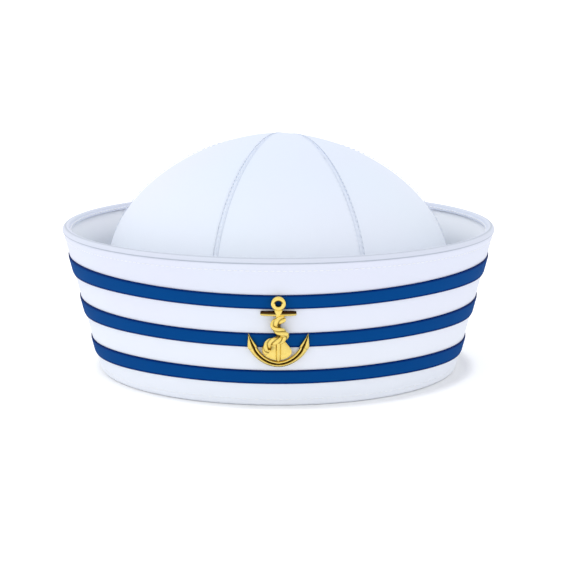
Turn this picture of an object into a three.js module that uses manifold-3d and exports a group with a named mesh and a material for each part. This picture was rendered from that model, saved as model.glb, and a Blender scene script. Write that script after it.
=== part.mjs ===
// Sailor cap: a crown of six gores inside a turned-up band, with three ribbon stripes and a
// cast anchor badge at the front. Millimetres, +Z up, the front faces -Y.
// The origin is on the surface that the cap rests on, at the centre of its oval.

import * as THREE from "three";
import { mergeVertices } from "three/addons/utils/BufferGeometryUtils.js";
import Module from "manifold-3d";

const wasm = await Module();
wasm.setup();

// Head opening and cloth
const HEAD_WIDTH = 173;
const HEAD_LENGTH = 195;
const BAND_PLY = 1.1;
const CROWN_PLY = 1.5;
const CLEARANCE = 0.3;

// Turned-up band
const BAND_HEIGHT = 73.8;
const BAND_FLARE = 19.3;
const BASE_CORNER = 2;
const BASE_HEM_HEIGHT = 9;
const RIM_HEM_DEPTH = 3.5;

// Crown
const CROWN_HEIGHT = 120.5;
const SHOULDER_HEIGHT = 52;
const CROWN_DRAW_IN = 1;
const CROWN_TURN = THREE.MathUtils.degToRad(3.7);
const DOME_RISE_POWER = 1.94;
const DOME_REACH_POWER = 1.755;
const CROWN_EYE_RADIUS = 0.8;
const CROWN_EYE_RIGHT = 5;
const CROWN_EYE_BACK = 23;
const SEAM_WIDTH = 2.4;
const SEAM_RISE = 0.6;

// The gores in order, each with its share of the turn round the crown
const GORES = [
  { name: "front", turn: 0.137 },
  { name: "front_right", turn: 0.183 },
  { name: "back_right", turn: 0.18 },
  { name: "back", turn: 0.14 },
  { name: "back_left", turn: 0.154 },
  { name: "front_left", turn: 0.206 },
];

// Ribbon stripes: each edge's distance below the rim, as a share of the band's slant height,
// at the front and back, half way to the side, and at the side
const RIBBON_THICKNESS = 0.5;
const STRIPES = [
  { name: "upper", edge: "top", front: 0.235, quarter: 0.207, side: 0.188 },
  { name: "upper", edge: "low", front: 0.328, quarter: 0.309, side: 0.316 },
  { name: "middle", edge: "top", front: 0.494, quarter: 0.48, side: 0.476 },
  { name: "middle", edge: "low", front: 0.589, quarter: 0.58, side: 0.6 },
  { name: "lower", edge: "top", front: 0.75, quarter: 0.746, side: 0.767 },
  { name: "lower", edge: "low", front: 0.843, quarter: 0.848, side: 0.875 },
];

// Anchor badge: its size on the band, how far its centre lies below the rim, and its relief
const BADGE_WIDTH = 30.2;
const BADGE_HEIGHT = 36.8;
const BADGE_DROP = 36.2;
const BADGE_PLATE = 1;
const BADGE_RELIEF = 1.6;
const RING_RADIUS = 2.5;
const RING_WIRE = 1.1;
const STOCK_LENGTH = 17.4;
const STOCK_WIDTH = 2.3;
const SHANK_TOP_WIDTH = 2.2;
const SHANK_FOOT_WIDTH = 3.2;
const POST_RADIUS = 0.8;
const CLUTCH_RADIUS = 4.5;
const CLUTCH_THICKNESS = 1.8;

// Where the badge's parts lie above its centre, as shares of its height
const STOCK_PLACE = 0.262;
const POST_PLACE = 0.115;
const SHANK_FOOT_PLACE = -0.46;

// How far the badge's parts rise over its plate, as shares of the relief
const STOCK_RISE = 0.4;
const SHANK_RISE = 0.75;
const ROPE_RISE = 0.6;

// A rope turn is this share as high over its core as it is wide, and keeps this share of its
// thickness at its ends; a fluke keeps this share of the plate's thickness at its tip
const ROPE_ROUNDNESS = 0.7;
const ROPE_END_SHARE = 0.35;
const TIP_PLATE_SHARE = 0.4;

// A gore narrower than this many seam widths has its seams narrowed with it
const SEAM_ROOM = 3;

// Fineness of the facets
const OVAL_STEPS = 72;
const GORE_STEPS = 10;
const WALL_ROWS = 4;
const DOME_ROWS = 9;
const BEAD_STEPS = 5;
const ROUND_SIDES = 14;
const RING_STEPS = 18;
const WIRE_STEPS = 3;
const BAR_STEPS = 6;
const ROPE_STEPS = 8;
const ROPE_SIDES = 6;

// Sizes that follow from the ones above
const BAND_SLANT = Math.hypot(BAND_HEIGHT, BAND_FLARE);
const BAND_LEAN = Math.atan2(BAND_FLARE, BAND_HEIGHT);
const FACING_DEPTH = BAND_PLY + CLEARANCE;
const RIM_THICKNESS = 3 * BAND_PLY + 2 * CLEARANCE;
const CROWN_BASE = BAND_PLY + CLEARANCE;
const CROWN_REACH = BAND_PLY + CLEARANCE + CROWN_PLY;
const WALL_REACH = CROWN_REACH + SEAM_RISE + CLEARANCE
  + (FACING_DEPTH + BAND_PLY) / Math.cos(BAND_LEAN) - CROWN_BASE * Math.tan(BAND_LEAN);
const RIBBON_LIFT = CLEARANCE + RIBBON_THICKNESS;
const BADGE_LIFT = RIBBON_LIFT + CLEARANCE;
const CLUTCH_SEAT = FACING_DEPTH + BAND_PLY + CLEARANCE;

// A closed body from points and triangles, with its faces turned outwards
function body(points, triangles) {
  const volume = triangles.reduce((sum, [a, b, c]) => {
    const normal = new THREE.Vector3().crossVectors(points[b], points[c]);
    return sum + points[a].dot(normal);
  }, 0);
  const order = volume > 0 ? triangles : triangles.map(([a, b, c]) => [a, c, b]);
  const geometry = new THREE.BufferGeometry().setFromPoints(points);
  geometry.setIndex(order.flat());
  return geometry;
}

// The triangles between a row of section rings, closed on itself or with a cap at each end
function loft(rings, startCap = null, endCap = startCap) {
  const count = rings[0].length;
  const triangles = [];
  const bands = startCap ? rings.length - 1 : rings.length;
  for (let row = 0; row < bands; row += 1) {
    const next = (row + 1) % rings.length;
    for (let i = 0; i < count; i += 1) {
      const j = (i + 1) % count;
      triangles.push([row * count + i, row * count + j, next * count + j]);
      triangles.push([row * count + i, next * count + j, next * count + i]);
    }
  }
  if (startCap) {
    const last = (rings.length - 1) * count;
    startCap.forEach(([a, b, c]) => triangles.push([a, c, b]));
    endCap.forEach(([a, b, c]) => triangles.push([last + a, last + b, last + c]));
  }
  return body(rings.flat(), triangles);
}

// The faces of a flat cap, from its outline
function capOf(outline) {
  const contour = outline.map(([x, y]) => new THREE.Vector2(x, y));
  const faces = THREE.ShapeUtils.triangulateShape(contour, []);
  return THREE.ShapeUtils.area(contour) > 0 ? faces : faces.map(([a, b, c]) => [a, c, b]);
}

// The faces of a convex cap with so many corners
function fanOf(corners) {
  return Array.from({ length: corners - 2 }, (_, i) => [0, i + 1, i + 2]);
}

function toSolid(geometry) {
  const bare = geometry.clone();
  bare.deleteAttribute("normal");
  bare.deleteAttribute("uv");
  const merged = mergeVertices(bare, 1e-4);
  const vertProperties = new Float32Array(merged.attributes.position.array);
  const triVerts = new Uint32Array(merged.index.array);
  return new wasm.Manifold(new wasm.Mesh({ numProp: 3, vertProperties, triVerts }));
}

function toGeometry(solid) {
  const mesh = solid.getMesh();
  const geometry = new THREE.BufferGeometry();
  geometry.setAttribute("position", new THREE.BufferAttribute(new Float32Array(mesh.vertProperties), 3));
  geometry.setIndex(Array.from(mesh.triVerts));
  return geometry;
}

// A point on the oval, by its reach outside the head opening, its height and its turn from the front
function onOval(reach, height, turn) {
  const x = (HEAD_WIDTH / 2 + reach) * Math.sin(turn);
  const y = -(HEAD_LENGTH / 2 + reach) * Math.cos(turn);
  return new THREE.Vector3(x, y, height);
}

// A section carried once round the oval; the section is a function of the turn
function roundTheOval(sectionAt) {
  const rings = [];
  for (let step = 0; step < OVAL_STEPS; step += 1) {
    const turn = (2 * Math.PI * step) / OVAL_STEPS;
    rings.push(sectionAt(turn).map(([reach, height]) => onOval(reach, height, turn)));
  }
  return loft(rings);
}

// Reach and height of a point in the band's wall: so far up its slant, so deep behind its face
function inBand(climb, depth) {
  const reach = WALL_REACH + climb * Math.sin(BAND_LEAN) - depth * Math.cos(BAND_LEAN);
  const height = climb * Math.cos(BAND_LEAN) + depth * Math.sin(BAND_LEAN);
  return [reach, height];
}

// The climb at which a layer of the wall, so deep behind its face, is at a given height
function climbTo(height, depth) {
  return (height - depth * Math.sin(BAND_LEAN)) / Math.cos(BAND_LEAN);
}

// Outer layer of the band: a rolled rim with its hem inside, and a base turned in under the crown
function bandSection() {
  const halfTurn = (Math.PI / 2 - BAND_LEAN) / 2;
  const inset = BASE_CORNER * Math.tan(halfTurn);
  const bead = RIM_THICKNESS / 2;
  const section = [[WALL_REACH - inset, 0]];
  section.push([
    WALL_REACH - inset + BASE_CORNER * Math.sin(halfTurn),
    BASE_CORNER * (1 - Math.cos(halfTurn)),
  ]);
  section.push(inBand(inset, 0));
  section.push(inBand(BAND_SLANT - bead, 0));
  for (let step = 1; step <= BEAD_STEPS; step += 1) {
    const angle = (Math.PI * step) / BEAD_STEPS;
    section.push(inBand(BAND_SLANT - bead + bead * Math.sin(angle), bead - bead * Math.cos(angle)));
  }
  section.push(inBand(BAND_SLANT - RIM_HEM_DEPTH, RIM_THICKNESS));
  section.push(inBand(BAND_SLANT - RIM_HEM_DEPTH, RIM_THICKNESS - BAND_PLY));
  section.push(inBand(BAND_SLANT - bead, RIM_THICKNESS - BAND_PLY));
  section.push(inBand(BAND_SLANT - bead, BAND_PLY));
  section.push(inBand(climbTo(BAND_PLY, BAND_PLY), BAND_PLY));
  section.push([BAND_PLY, BAND_PLY]);
  section.push([BAND_PLY, BASE_HEM_HEIGHT]);
  section.push([0, BASE_HEM_HEIGHT]);
  section.push([0, BAND_PLY / 2]);
  section.push([BAND_PLY / 2, 0]);
  return section;
}

// The layer seen inside the band, from the crown's base up to behind the rim's hem
function facingSection() {
  const top = BAND_SLANT - RIM_THICKNESS / 2 - CLEARANCE;
  const back = FACING_DEPTH + BAND_PLY;
  return [
    inBand(climbTo(CROWN_BASE, FACING_DEPTH), FACING_DEPTH),
    inBand(top, FACING_DEPTH),
    inBand(top, back),
    inBand(climbTo(CROWN_BASE, back), back),
  ];
}

// A stripe edge's climb at any turn, through its front, quarter and side values
function edgeClimb({ front, quarter, side }, turn) {
  const mean = (front + 2 * quarter + side) / 4;
  const sway = (front - side) / 2;
  const ripple = (front - 2 * quarter + side) / 4;
  const drop = mean + sway * Math.cos(2 * turn) + ripple * Math.cos(4 * turn);
  return BAND_SLANT * (1 - drop);
}

function stripeSection(top, low, turn) {
  const upper = edgeClimb(top, turn);
  const lower = edgeClimb(low, turn);
  return [
    inBand(lower, -CLEARANCE),
    inBand(lower, -RIBBON_LIFT),
    inBand(upper, -RIBBON_LIFT),
    inBand(upper, -CLEARANCE),
  ];
}

// The crown's outline: half sizes along X and Y, and height. Below the shoulder it draws in
// above the base hem, and over it is a dome whose reach falls to nothing at the top.
function crownOutline(rise) {
  const wallHeight = THREE.MathUtils.lerp(CROWN_BASE, SHOULDER_HEIGHT, Math.min(rise, 1));
  const draw = THREE.MathUtils.smoothstep(wallHeight, BASE_HEM_HEIGHT, SHOULDER_HEIGHT);
  const drawn = CROWN_REACH - CROWN_DRAW_IN * draw;
  const angle = (Math.max(rise - 1, 0) * Math.PI) / 2;
  const share = Math.cos(angle) ** (2 / DOME_REACH_POWER);
  const climb = Math.sin(angle) ** (2 / DOME_RISE_POWER);
  return {
    halfWidth: (HEAD_WIDTH / 2 + drawn) * share,
    halfLength: (HEAD_LENGTH / 2 + drawn) * share,
    height: wallHeight + (CROWN_HEIGHT - SHOULDER_HEIGHT) * climb,
  };
}

// The rise at which the gores stop, round the small eye at the crown's top
function eyeRise() {
  const share = CROWN_EYE_RADIUS / (HEAD_WIDTH / 2 + CROWN_REACH - CROWN_DRAW_IN);
  return 1 + Math.acos(share ** (DOME_REACH_POWER / 2)) / (Math.PI / 2);
}

// The gores meet at an eye that lies behind the crown's highest point and a little to its right.
// This slides a place on the round dome towards the eye, all of the way at the top.
function towardsEye(turn, rise) {
  if (rise <= 1) return { turn, rise };
  const share = Math.cos(((rise - 1) * Math.PI) / 2) ** (2 / DOME_REACH_POWER);
  const reach = CROWN_REACH - CROWN_DRAW_IN;
  const right = (CROWN_EYE_RIGHT * (1 - share)) / (HEAD_WIDTH / 2 + reach);
  const back = (CROWN_EYE_BACK * (1 - share)) / (HEAD_LENGTH / 2 + reach);
  const place = new THREE.Vector2(share * Math.sin(turn) + right, share * Math.cos(turn) - back);
  const slid = Math.acos(place.length() ** (DOME_REACH_POWER / 2)) / (Math.PI / 2);
  return { turn: Math.atan2(place.x, place.y), rise: 1 + slid };
}

// A point of the crown: so far round, at a rise, and so far outside the cloth's face
function onCrown(roundTurn, roundRise, level) {
  const { turn, rise } = towardsEye(roundTurn, roundRise);
  const step = 1e-4;
  const here = crownOutline(rise);
  const below = crownOutline(rise - step);
  const slope = new THREE.Vector2(here.halfWidth - below.halfWidth, here.height - below.height).normalize();
  const halfWidth = here.halfWidth + slope.y * level;
  const halfLength = here.halfLength + slope.y * level;
  return new THREE.Vector3(
    halfWidth * Math.sin(turn),
    -halfLength * Math.cos(turn),
    here.height - slope.x * level,
  );
}

// Across a gore: its left edge laps over the neighbour as a raised strip, and its right edge is
// stepped down to lie under the next one's strip. Each point is a share of the gore's width,
// an offset from there in millimetres, and a level outside the cloth's face.
function goreSection() {
  const half = SEAM_WIDTH / 2;
  const lapFoot = SEAM_RISE - (CROWN_PLY - SEAM_RISE);
  const tuck = lapFoot - CLEARANCE;
  const section = [
    { share: 0, offset: -half, level: SEAM_RISE },
    { share: 0, offset: half, level: SEAM_RISE },
  ];
  for (let step = 0; step <= GORE_STEPS; step += 1) {
    const share = step / GORE_STEPS;
    section.push({ share, offset: half - share * (2 * half + CLEARANCE), level: 0 });
  }
  section.push({ share: 1, offset: -half - CLEARANCE, level: tuck });
  section.push({ share: 1, offset: -CLEARANCE / 2, level: tuck });
  for (let step = GORE_STEPS; step >= 0; step -= 1) {
    const share = step / GORE_STEPS;
    section.push({ share, offset: CLEARANCE / 2 - share * CLEARANCE, level: -CROWN_PLY });
  }
  section.push({ share: 0, offset: CLEARANCE / 2, level: lapFoot });
  section.push({ share: 0, offset: -half, level: lapFoot });
  return section;
}

// How much of a seam's width is left where the gores narrow towards the top
function seamNarrowing(localWidth) {
  return Math.min(1, localWidth / (SEAM_ROOM * SEAM_WIDTH));
}

function goreGeometry(startTurn, turnWidth) {
  const section = goreSection();
  const top = eyeRise();
  const rises = [];
  for (let row = 0; row < WALL_ROWS; row += 1) rises.push(row / WALL_ROWS);
  for (let row = 0; row <= DOME_ROWS; row += 1) rises.push(1 + ((top - 1) * row) / DOME_ROWS);
  const rings = rises.map((rise) => {
    const { halfWidth, halfLength } = crownOutline(rise);
    const radius = (halfWidth + halfLength) / 2;
    const narrowing = seamNarrowing(radius * turnWidth);
    return section.map(({ share, offset, level }) => {
      const isGap = Math.abs(offset) <= CLEARANCE / 2 + 1e-9;
      const shift = (isGap ? offset : offset * narrowing) / radius;
      return onCrown(startTurn + share * turnWidth + shift, rise, level);
    });
  });
  const foot = rings[0].map((point) => [-point.x, point.y]);
  const tip = section.map(({ share, offset, level }) => [share * HEAD_WIDTH + offset, level]);
  return loft(rings, capOf(foot), capOf(tip));
}

// The badge's own frame: X across, Y up the slant, Z out of the band's face. Its back follows
// the band's curve, so every point is bent round an upright axis behind the band.
const BADGE_CLIMB = BAND_SLANT - BADGE_DROP;
const BADGE_WALL = inBand(BADGE_CLIMB, 0);
const BEND_RADIUS = (HEAD_WIDTH / 2 + BADGE_WALL[0]) ** 2
  / (HEAD_LENGTH / 2 + BADGE_WALL[0]) / Math.cos(BAND_LEAN);

function bend(point) {
  const angle = point.x / BEND_RADIUS;
  const radius = BEND_RADIUS + point.z;
  return new THREE.Vector3(radius * Math.sin(angle), point.y, radius * Math.cos(angle) - BEND_RADIUS);
}

function bent(geometry) {
  const position = geometry.attributes.position;
  for (let i = 0; i < position.count; i += 1) {
    const moved = bend(new THREE.Vector3().fromBufferAttribute(position, i));
    position.setXYZ(i, moved.x, moved.y, moved.z);
  }
  return geometry;
}

// Arms and flukes, from the middle out to a tip: the outer and the inner edge, as shares of half
// the badge's width and of its height, and the share of the relief that the ridge has there
const ARMS = [
  { outX: 0, outY: -0.5, inX: 0, inY: -0.415, ridge: 1 },
  { outX: 0.19, outY: -0.491, inX: 0.145, inY: -0.407, ridge: 1 },
  { outX: 0.36, outY: -0.465, inX: 0.275, inY: -0.385, ridge: 1 },
  { outX: 0.52, outY: -0.426, inX: 0.41, inY: -0.35, ridge: 1 },
  { outX: 0.67, outY: -0.378, inX: 0.53, inY: -0.305, ridge: 1 },
  { outX: 0.8, outY: -0.322, inX: 0.62, inY: -0.255, ridge: 1 },
  { outX: 0.91, outY: -0.255, inX: 0.685, inY: -0.212, ridge: 1 },
  { outX: 0.965, outY: -0.21, inX: 0.64, inY: -0.178, ridge: 1 },
  { outX: 1, outY: -0.15, inX: 0.755, inY: -0.13, ridge: 0.75 },
  { outX: 0.99, outY: -0.09, inX: 0.86, inY: -0.08, ridge: 0.45 },
  { outX: 0.96, outY: -0.028, inX: 0.93, inY: -0.032, ridge: 0.1 },
];

function armsGeometry() {
  const half = ARMS.map(({ outX, outY, inX, inY, ridge }) => {
    const outer = new THREE.Vector2(outX * (BADGE_WIDTH / 2), outY * BADGE_HEIGHT);
    const inner = new THREE.Vector2(inX * (BADGE_WIDTH / 2), inY * BADGE_HEIGHT);
    const middle = outer.clone().lerp(inner, 0.5);
    const rim = BADGE_PLATE * THREE.MathUtils.lerp(TIP_PLATE_SHARE, 1, ridge);
    return [
      new THREE.Vector3(outer.x, outer.y, 0),
      new THREE.Vector3(outer.x, outer.y, rim),
      new THREE.Vector3(middle.x, middle.y, rim + BADGE_RELIEF * ridge),
      new THREE.Vector3(inner.x, inner.y, rim),
      new THREE.Vector3(inner.x, inner.y, 0),
    ];
  });
  const mirrored = half.slice(1).map((ring) => ring.map((p) => new THREE.Vector3(-p.x, p.y, p.z)));
  return loft([...mirrored.reverse(), ...half], fanOf(half[0].length));
}

// A bar with a ridge along it, between two points of the badge's face
function ridgedBar(from, to, fromWidth, toWidth, rise) {
  const along = to.clone().sub(from);
  const across = new THREE.Vector2(-along.y, along.x).normalize();
  const rings = [];
  for (let step = 0; step <= BAR_STEPS; step += 1) {
    const share = step / BAR_STEPS;
    const centre = from.clone().addScaledVector(along, share);
    const half = THREE.MathUtils.lerp(fromWidth, toWidth, share) / 2;
    const edge = (side) => centre.clone().addScaledVector(across, side * half);
    const low = edge(-1);
    const high = edge(1);
    rings.push([
      new THREE.Vector3(low.x, low.y, 0),
      new THREE.Vector3(low.x, low.y, BADGE_PLATE),
      new THREE.Vector3(centre.x, centre.y, BADGE_PLATE + rise),
      new THREE.Vector3(high.x, high.y, BADGE_PLATE),
      new THREE.Vector3(high.x, high.y, 0),
    ]);
  }
  return loft(rings, fanOf(rings[0].length));
}

// The ring at the top: a round wire with a flat back
const RING_CENTRE = BADGE_HEIGHT / 2 - RING_RADIUS - RING_WIRE;

function ringGeometry() {
  const rings = [];
  for (let step = 0; step < RING_STEPS; step += 1) {
    const turn = (2 * Math.PI * step) / RING_STEPS;
    const at = (radius, height) => new THREE.Vector3(
      radius * Math.sin(turn),
      RING_CENTRE + radius * Math.cos(turn),
      height,
    );
    const ring = [at(RING_RADIUS + RING_WIRE, 0)];
    for (let side = 0; side <= WIRE_STEPS; side += 1) {
      const angle = (Math.PI * side) / WIRE_STEPS;
      ring.push(at(RING_RADIUS + RING_WIRE * Math.cos(angle), BADGE_PLATE + RING_WIRE * Math.sin(angle)));
    }
    ring.push(at(RING_RADIUS - RING_WIRE, 0));
    rings.push(ring);
  }
  return loft(rings);
}

// The rope, as the turns that show in front of the shank: each turn's ends and middle, as shares
// of half the badge's width and of its height, and its half width as a share of the height
const ROPE_TURNS = [
  { fromX: -0.06, fromY: 0.19, midX: 0.12, midY: 0.198, toX: 0.22, toY: 0.165, half: 0.036 },
  { fromX: -0.18, fromY: 0.105, midX: 0.04, midY: 0.035, toX: 0.25, toY: -0.035, half: 0.056 },
  { fromX: 0.17, fromY: -0.1, midX: -0.1, midY: -0.115, toX: -0.29, toY: -0.15, half: 0.05 },
];

function ropeTurn({ fromX, fromY, midX, midY, toX, toY, half }) {
  const place = (x, y, share) => new THREE.Vector3(
    x * (BADGE_WIDTH / 2),
    y * BADGE_HEIGHT,
    BADGE_PLATE + BADGE_RELIEF * share,
  );
  const path = new THREE.CatmullRomCurve3([
    place(fromX, fromY, 0),
    place(midX, midY, ROPE_RISE),
    place(toX, toY, 0),
  ]);
  const rings = [];
  for (let step = 0; step <= ROPE_STEPS; step += 1) {
    const share = step / ROPE_STEPS;
    const centre = path.getPoint(share);
    const along = path.getTangent(share);
    const across = new THREE.Vector3(-along.y, along.x, 0).normalize();
    const fullness = Math.sqrt(1 - (2 * share - 1) ** 4);
    const radius = half * BADGE_HEIGHT * Math.max(fullness, ROPE_END_SHARE);
    const crest = centre.z + radius * ROPE_ROUNDNESS;
    const ring = [];
    for (let side = 0; side <= ROPE_SIDES; side += 1) {
      const angle = (Math.PI * side) / ROPE_SIDES;
      const point = centre.clone().addScaledVector(across, radius * Math.cos(angle));
      point.z = crest * Math.sin(angle);
      ring.push(point);
    }
    rings.push(ring);
  }
  return loft(rings, fanOf(rings[0].length));
}

// The gathered rope at the foot of the shank, from its neck down to its curved lower edge: the
// height as a share of the badge's, the left and right edges as shares of half its width, and
// how full the rope is there
const ROPE_FOOT = [
  { y: -0.085, left: -0.2, right: 0.1, swell: 0.35 },
  { y: -0.13, left: -0.36, right: 0.24, swell: 0.7 },
  { y: -0.19, left: -0.4, right: 0.36, swell: 0.9 },
  { y: -0.25, left: -0.5, right: 0.41, swell: 1 },
  { y: -0.31, left: -0.44, right: 0.36, swell: 0.95 },
  { y: -0.352, left: -0.3, right: 0.26, swell: 0.8 },
  { y: -0.378, left: -0.15, right: 0.14, swell: 0.55 },
];

function ropeFootGeometry() {
  const rings = ROPE_FOOT.map(({ y, left, right, swell }) => {
    const shares = Array.from({ length: ROPE_STEPS + 1 }, (_, column) => column / ROPE_STEPS);
    const at = (share, z) => {
      const x = THREE.MathUtils.lerp(left, right, share) * (BADGE_WIDTH / 2);
      return new THREE.Vector3(x, y * BADGE_HEIGHT, z);
    };
    const face = shares.map((share) => {
      const arch = Math.sqrt(1 - (2 * share - 1) ** 2);
      return at(share, BADGE_PLATE / 2 + BADGE_RELIEF * SHANK_RISE * swell * arch);
    });
    return [...face, ...shares.reverse().map((share) => at(share, 0))];
  });
  const cap = rings[0].map((p) => [p.x, p.z]);
  return loft(rings, capOf(cap));
}

// The stock: the bar across, under the ring
function stockGeometry() {
  const left = new THREE.Vector2(-STOCK_LENGTH / 2, STOCK_PLACE * BADGE_HEIGHT);
  const right = new THREE.Vector2(STOCK_LENGTH / 2, STOCK_PLACE * BADGE_HEIGHT);
  return ridgedBar(left, right, STOCK_WIDTH, STOCK_WIDTH, BADGE_RELIEF * STOCK_RISE);
}

// The shank: the bar down the middle, from the ring to the arms
function shankGeometry() {
  const foot = new THREE.Vector2(0, SHANK_FOOT_PLACE * BADGE_HEIGHT);
  const top = new THREE.Vector2(0, RING_CENTRE - RING_RADIUS);
  return ridgedBar(foot, top, SHANK_FOOT_WIDTH, SHANK_TOP_WIDTH, BADGE_RELIEF * SHANK_RISE);
}

// The post behind the badge, or the hole that it needs, along the Z of the badge's frame
function postGeometry(radius, from, to) {
  const post = new THREE.CylinderGeometry(radius, radius, to - from, ROUND_SIDES);
  post.rotateX(Math.PI / 2);
  post.translate(0, POST_PLACE * BADGE_HEIGHT, (from + to) / 2);
  return post;
}

function badgeSolid() {
  const castParts = [
    armsGeometry(),
    ringGeometry(),
    stockGeometry(),
    shankGeometry(),
    ...ROPE_TURNS.map(ropeTurn),
    ropeFootGeometry(),
  ];
  const postEnd = -(BADGE_LIFT + CLUTCH_SEAT + CLUTCH_THICKNESS);
  const post = postGeometry(POST_RADIUS, postEnd, BADGE_PLATE / 2);
  const solids = [...castParts.map(bent), post].map(toSolid);
  return solids.reduce((sum, solid) => sum.add(solid));
}

// The post's hole, cut through a layer of the band
function withPostHole(geometry) {
  const cutter = postGeometry(POST_RADIUS + CLEARANCE, -2 * RIM_THICKNESS, 2 * RIM_THICKNESS);
  cutter.applyMatrix4(badgeMatrix(0));
  return toGeometry(toSolid(geometry).subtract(toSolid(cutter)));
}

function badgeMatrix(lift) {
  const [reach, height] = inBand(BADGE_CLIMB, -lift);
  const matrix = new THREE.Matrix4().makeRotationX(Math.PI / 2 + BAND_LEAN);
  return matrix.setPosition(onOval(reach, height, 0));
}

function clutchGeometry() {
  const edge = CLUTCH_THICKNESS / 3;
  const bore = POST_RADIUS + CLEARANCE;
  const profile = [
    [bore, 0],
    [CLUTCH_RADIUS, 0],
    [CLUTCH_RADIUS, CLUTCH_THICKNESS - edge],
    [CLUTCH_RADIUS - edge, CLUTCH_THICKNESS],
    [bore, CLUTCH_THICKNESS],
    [bore, 0],
  ];
  const disc = new THREE.LatheGeometry(profile.map(([x, y]) => new THREE.Vector2(x, y)), ROUND_SIDES);
  disc.rotateX(-Math.PI / 2);
  disc.translate(0, POST_PLACE * BADGE_HEIGHT, -CLUTCH_SEAT);
  return disc;
}

// Materials
const whiteCloth = (shade) => new THREE.MeshStandardMaterial({ color: shade, roughness: 0.85, metalness: 0 });
const crownCloth = () => whiteCloth(0xe8f0fd);
const bandCloth = () => whiteCloth(0xeaeffa);
const blueRibbon = () => new THREE.MeshStandardMaterial({ color: 0x0a4a8d, roughness: 0.6, metalness: 0 });
const goldMetal = () => new THREE.MeshStandardMaterial({ color: 0xe8c04a, roughness: 0.25, metalness: 1 });

function piece(name, geometry, material) {
  geometry.computeVertexNormals();
  const mesh = new THREE.Mesh(geometry, material);
  mesh.name = name;
  return mesh;
}

const cap = new THREE.Group();

const crown = new THREE.Group();
crown.name = "crown";
const wholeTurn = 2 * Math.PI;
let startTurn = CROWN_TURN - (GORES[0].turn * wholeTurn) / 2;
GORES.forEach(({ name, turn }) => {
  crown.add(piece(`crown_gore_${name}`, goreGeometry(startTurn, turn * wholeTurn), crownCloth()));
  startTurn += turn * wholeTurn;
});
cap.add(crown);

cap.add(piece("cuff_outer", withPostHole(roundTheOval(bandSection)), bandCloth()));
cap.add(piece("cuff_facing", withPostHole(roundTheOval(facingSection)), bandCloth()));

const stripeEdge = (name, edge) => STRIPES.find((row) => row.name === name && row.edge === edge);
["upper", "middle", "lower"].forEach((name) => {
  const top = stripeEdge(name, "top");
  const low = stripeEdge(name, "low");
  const ribbon = roundTheOval((turn) => stripeSection(top, low, turn));
  cap.add(piece(`stripe_${name}`, ribbon, blueRibbon()));
});

const badge = piece("anchor_badge", toGeometry(badgeSolid()), goldMetal());
badge.applyMatrix4(badgeMatrix(BADGE_LIFT));
cap.add(badge);

const clutch = piece("badge_clutch", clutchGeometry(), goldMetal());
clutch.applyMatrix4(badgeMatrix(0));
cap.add(clutch);

export default cap;
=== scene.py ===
# %% [markdown]
# A white sailor cap, as a lesson in modelling sewn cloth.
# A gored crown stands inside a band that is turned up all round. Three blue ribbons run round
# the band and a cast gold anchor is pinned to its front.
# The solid model of the cap is loaded first. It fixes every size and place, and the pieces
# that are made here take the place of its plain cloth.

# %% Load the solid model
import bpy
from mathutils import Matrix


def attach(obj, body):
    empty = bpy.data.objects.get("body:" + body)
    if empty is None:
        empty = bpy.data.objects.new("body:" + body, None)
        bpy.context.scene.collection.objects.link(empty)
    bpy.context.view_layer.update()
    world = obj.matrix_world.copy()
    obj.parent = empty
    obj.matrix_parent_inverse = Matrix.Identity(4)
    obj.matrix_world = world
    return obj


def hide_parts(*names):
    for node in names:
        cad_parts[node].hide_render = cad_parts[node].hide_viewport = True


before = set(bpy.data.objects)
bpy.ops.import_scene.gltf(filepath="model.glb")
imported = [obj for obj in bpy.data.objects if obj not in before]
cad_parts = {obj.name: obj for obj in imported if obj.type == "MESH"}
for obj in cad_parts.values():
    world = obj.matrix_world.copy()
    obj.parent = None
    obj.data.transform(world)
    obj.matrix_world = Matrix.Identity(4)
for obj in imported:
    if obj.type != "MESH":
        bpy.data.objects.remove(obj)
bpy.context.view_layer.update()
print("solid model:", sorted(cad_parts))

# %% [markdown]
# The cap's sizes are the same named values that its solid model is driven by, here in metres.
# The oval of the head opening carries everything: each point of the cloth is so far outside
# it, so high, and so far round from the front.

# %% Name the sizes
import math

import bpy
from mathutils import Matrix, Vector

MM = 0.001
HEAD_WIDTH = 173 * MM
HEAD_LENGTH = 195 * MM
BAND_PLY = 1.1 * MM
CROWN_PLY = 1.5 * MM
CLEARANCE = 0.3 * MM
BAND_HEIGHT = 73.8 * MM
BAND_FLARE = 19.3 * MM
BASE_CORNER = 2 * MM
BASE_HEM_HEIGHT = 9 * MM
RIM_HEM_DEPTH = 3.5 * MM
CROWN_HEIGHT = 120.5 * MM
SHOULDER_HEIGHT = 52 * MM
CROWN_DRAW_IN = 1 * MM
CROWN_TURN = math.radians(3.7)
DOME_RISE_POWER = 1.94
DOME_REACH_POWER = 1.755
SEAM_WIDTH = 2.4 * MM
SEAM_RISE = 0.6 * MM
RIBBON_THICKNESS = 0.5 * MM

BAND_SLANT = math.hypot(BAND_HEIGHT, BAND_FLARE)
BAND_LEAN = math.atan2(BAND_FLARE, BAND_HEIGHT)
FACING_DEPTH = BAND_PLY + CLEARANCE
RIM_THICKNESS = 3 * BAND_PLY + 2 * CLEARANCE
CROWN_BASE = BAND_PLY + CLEARANCE
CROWN_REACH = BAND_PLY + CLEARANCE + CROWN_PLY
WALL_REACH = (CROWN_REACH + SEAM_RISE + CLEARANCE
              + (FACING_DEPTH + BAND_PLY) / math.cos(BAND_LEAN) - CROWN_BASE * math.tan(BAND_LEAN))
print("band slant", round(BAND_SLANT / MM, 2), "mm, wall reach", round(WALL_REACH / MM, 2), "mm")

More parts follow.
